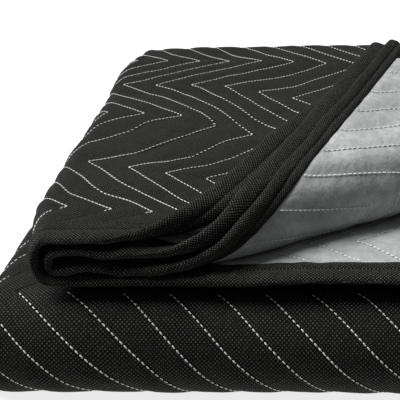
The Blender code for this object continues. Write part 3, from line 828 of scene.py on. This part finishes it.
def grey_felt():
    """Grey felted back of pressed recycled fibre: mottled, faintly ribbed, quite matt."""
    made, tree, shader = new_material("grey felted fibre", 0.95, sheen=0.25)
    flat = add_node(tree, "ShaderNodeUVMap", uv_map="cloth")
    mottle = spots(tree, flat, size=7.69, detail=6.0, low=0.3, high=0.7)
    fibres = spots(tree, flat, size=0.909, detail=4.0, low=0.35, high=0.7)
    patches = spots(tree, flat, size=45.5, detail=5.0, low=0.35, high=0.65, most=0.55)
    drawn_out = (1.0, RIB_WIDTH / RIB_LENGTH, 1.0)
    drawn = add_node(tree, "ShaderNodeVectorMath", {0: flat, 1: drawn_out}, operation="MULTIPLY")
    ribs = spots(tree, drawn, size=RIB_WIDTH, detail=3.0, low=0.3, high=0.7)
    rib_tone = add_node(tree, "ShaderNodeMath", {0: ribs, 1: 0.15}, operation="MULTIPLY")
    crease = out_of_crease(tree, FELT_CREASE)
    tones = [(mottle, "B6B9B9"), (fibres, "CACCCB"), (patches, "8A8E8E"), (rib_tone, "868A8A")]
    felt = layered(tree, colour("868A8A"), [(share, colour(tone)) for share, tone in tones])
    base = layered(tree, colour("ACB0B0"), [(crease, felt)])
    nap = add_node(tree, "ShaderNodeTexNoise", {"Vector": flat, "Scale": 1000 / NAP, "Detail": 5.0})
    surface(tree, shader, base, [(crease, 0.8, 0.35), (ribs, 0.4, 0.3), (nap, 1.2, 0.7)])
    return made


def binding_tape():
    """Woven black binding tape, plain weave a little denser than the cover's, matt; its raised threads carry
    fine dots of painted highlight.
    """
    made, tree, shader = new_material("woven black binding tape", 0.88)
    flat = add_node(tree, "ShaderNodeUVMap", uv_map="cloth")
    weave = plain_weave(tree, flat, TAPE_THREAD)
    patches = spots(tree, flat, size=33.3, detail=3.0, low=0.3, high=0.7)
    fuzz = spots(tree, flat, size=1.111, detail=2.0, low=0.3, high=0.75)
    # The raised threads are painted lighter than the black tape: painted highlight, varied at random by the
    # fuzz.
    painted_yarn_highlight = layered(tree, colour("262625"), [(fuzz, colour("72726C"))])
    base = layered(tree, colour("070707"), [(patches, colour("0C0C0C")), (weave, painted_yarn_highlight)])
    bumps = {"Vector": flat, "Scale": 1000 / TAPE_WRINKLE, "Detail": 3.0}
    wrinkles = add_node(tree, "ShaderNodeTexNoise", bumps)
    surface(tree, shader, base, [(weave, 0.3, 0.9), (wrinkles, 1.2, 0.5)])
    return made


def thread(name, hex_code):
    """Spun polyester sewing thread: its twist gives it fine slanted stripes."""
    made, tree, shader = new_material(name, 0.7, sheen=0.1)
    flat = add_node(tree, "ShaderNodeUVMap", uv_map="cloth")
    along = add_node(tree, "ShaderNodeSeparateXYZ", {0: flat}, 1)
    turns = add_node(tree, "ShaderNodeMath", {0: along, 1: math.pi * 1000 / TWIST}, operation="MULTIPLY")
    twist = add_node(tree, "ShaderNodeMath", {0: turns}, operation="SINE")
    ends = {0: twist, 1: -1.0, 2: 1.0, 4: 0.25}
    shade = add_node(tree, "ShaderNodeMapRange", ends, interpolation_type="SMOOTHSTEP")
    surface(tree, shader, layered(tree, colour(hex_code), [(shade, colour("8E8E8A"))]), [(twist, 0.08, 0.6)])
    return made


def white_table():
    """White acrylic table, lit from below: an even matt white."""
    made, _, shader = new_material("white acrylic table", 0.9)
    shader.inputs["Base Color"].default_value = colour("8C8C8C")
    shader.inputs["Emission Color"].default_value = (1, 1, 1, 1)
    shader.inputs["Emission Strength"].default_value = 0.8
    return made


def black_card():
    """Matt black card, cut from a dyed sheet: it gives no light back."""
    made, _, shader = new_material("black card", 0.9)
    shader.inputs["Base Color"].default_value = colour("050505")
    return made


# Studio

FLOOR = (-12.0, 12.0, -12.0, 12.0)  # x from and to, y from and to
CARDS = [(-5.0, 5.0, -5.0, -0.38), (0.34, 5.0, -0.38, 5.0)]
CARD_HEIGHT = 0.004
ROOM_LIGHT = 0.11  # strength of the even light from all round
LAMP_TURN = (-5, -31, 0)  # degrees; the light comes from above, the left and a little behind
LAMP_POWER = 4.6
LAMP_SPREAD = 45  # degrees across, so the shadows are soft


def add_flat(name, rectangles, height, finish):
    """Level rectangles in one piece that isn't part of the object."""
    corners = []
    for low_x, high_x, low_y, high_y in rectangles:
        corners += [(low_x, low_y), (high_x, low_y), (high_x, high_y), (low_x, high_y)]
    faces = [tuple(range(4 * k, 4 * k + 4)) for k in range(len(rectangles))]
    data = bpy.data.meshes.new(name)
    data.from_pydata([(x, y, height) for x, y in corners], [], faces)
    data.materials.append(finish)
    made = bpy.data.objects.new(name, data)
    bpy.context.scene.collection.objects.link(made)
    return made


def add_studio():
    """The table, its cards and the light; the cards keep the table's light off the pad's front."""
    add_flat("floor", [FLOOR], 0.0, white_table())
    cards = add_flat("dark_card", CARDS, CARD_HEIGHT, black_card())
    cards.visible_camera = False
    cards.visible_shadow = False
    world = bpy.data.worlds.new("studio")
    world.use_nodes = True
    backdrop = world.node_tree.nodes["Background"]
    backdrop.inputs["Color"].default_value = (1, 1, 1, 1)
    backdrop.inputs["Strength"].default_value = ROOM_LIGHT
    bpy.context.scene.world = world
    bpy.context.scene.view_settings.view_transform = "Standard"
    data = bpy.data.lights.new("overhead", "SUN")
    data.energy = LAMP_POWER
    data.angle = math.radians(LAMP_SPREAD)
    lamp = bpy.data.objects.new("overhead", data)
    lamp.rotation_euler = [math.radians(turn) for turn in LAMP_TURN]
    lamp.location = (0, 0, 2)
    bpy.context.scene.collection.objects.link(lamp)


# The camera: place, pitch, yaw to the left and roll in degrees, and its lens on a 36 mm sensor
CAMERA_AT = (-0.0177, -1.1305, 0.5330)
CAMERA_PITCH = 23.29
CAMERA_YAW = 5.19
CAMERA_ROLL = -2.0
CAMERA_LENS = 107.7


def add_camera():
    data = bpy.data.cameras.new("camera")
    data.lens = CAMERA_LENS
    data.sensor_width = 36
    data.clip_start = 0.05
    camera = bpy.data.objects.new("camera", data)
    camera.location = CAMERA_AT
    roll = Euler((0, 0, math.radians(CAMERA_ROLL))).to_matrix()
    aim = Euler((math.radians(90 - CAMERA_PITCH), 0, math.radians(CAMERA_YAW))).to_matrix()
    camera.rotation_euler = (aim @ roll).to_euler()
    bpy.context.scene.collection.objects.link(camera)
    bpy.context.scene.camera = camera


def add_cloth():
    """The two faces of the cloth and the thread that shows on each."""
    cover_lines = grid_lines(BLACK_U), grid_lines(BLACK_V)
    back_lines = grid_lines(GREY_U), grid_lines(GREY_V)
    cover = cloth_face("black_cover", 1, *cover_lines, woven_black(), "woven_black")
    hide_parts("quilted_pad")
    back = cloth_face("grey_back", -1, *back_lines, grey_felt(), "woven_black")
    black_thread = stitches("thread_on_black", 1, BLACK_STITCHED, thread("white thread", "E8E8E4"))
    grey_thread = stitches("thread_on_grey", -1, GREY_STITCHED, thread("pale grey thread", "FAFAF6"))


def add_bindings():
    """A tape on each edge; those of the two sides end just inside the other two."""
    finish = binding_tape()
    side_low = BINDING_WIDTH - TAPE_TUCK
    side_high = LENGTH - BINDING_WIDTH + TAPE_TUCK
    flap_high = side_high + FLAP_TAPE_LESS
    edges = [
        ("front_edge_binding", 0.0, WIDTH, lambda along, inwards: (along, LENGTH - inwards)),
        ("back_edge_binding", 0.0, WIDTH, lambda along, inwards: (along, inwards)),
        ("lower_side_binding", side_low, side_high, lambda along, inwards: (inwards, along)),
        ("flap_side_binding", side_low, flap_high, lambda along, inwards: (WIDTH - inwards, along)),
    ]
    for node, start, end, to_flat in edges:
        binding(node, start, end, to_flat, finish)


def main():
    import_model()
    add_cloth()
    add_bindings()
    add_studio()
    add_camera()


main()
